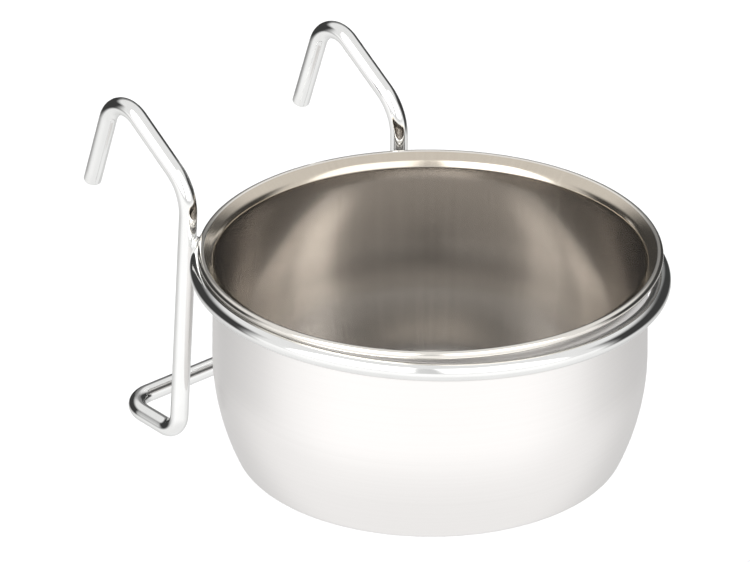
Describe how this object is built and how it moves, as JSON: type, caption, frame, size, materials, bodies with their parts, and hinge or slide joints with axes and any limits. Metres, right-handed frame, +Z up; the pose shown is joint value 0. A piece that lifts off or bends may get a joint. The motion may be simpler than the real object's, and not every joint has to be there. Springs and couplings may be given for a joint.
{
  "type": "hook-on cage feeding cup",
  "caption": "Round steel feeding cup with a rolled lip, held in a wire ring whose bent wire hanger hooks over the wires of a cage.",
  "frame": {"origin": "centre of the cup's flat base, on its underside", "axes": "+Z up along the cup's axis; +Y back towards the hooks and the cage; +X to the right seen from the front of the cup"},
  "size_m": [0.0984, 0.1234, 0.0726],
  "materials": {
    "cup": "satin outside, fine drawn streaks inside",
    "wire": "bright polished",
    "weld": "polished over, slightly duller than the wire"
  },
  "bodies": {
    "holder": {"holder_ring": "wire", "hanger_wire": "wire", "ring_weld_left": "weld", "ring_weld_right": "weld"},
    "cup": {"cup": "cup"}
  },
  "joints": [
    {"name": "cup_lift", "type": "slide", "parent": "holder", "child": "cup", "axis": [0, 0, 1], "range_m": [0, 0.075]}
  ]
}
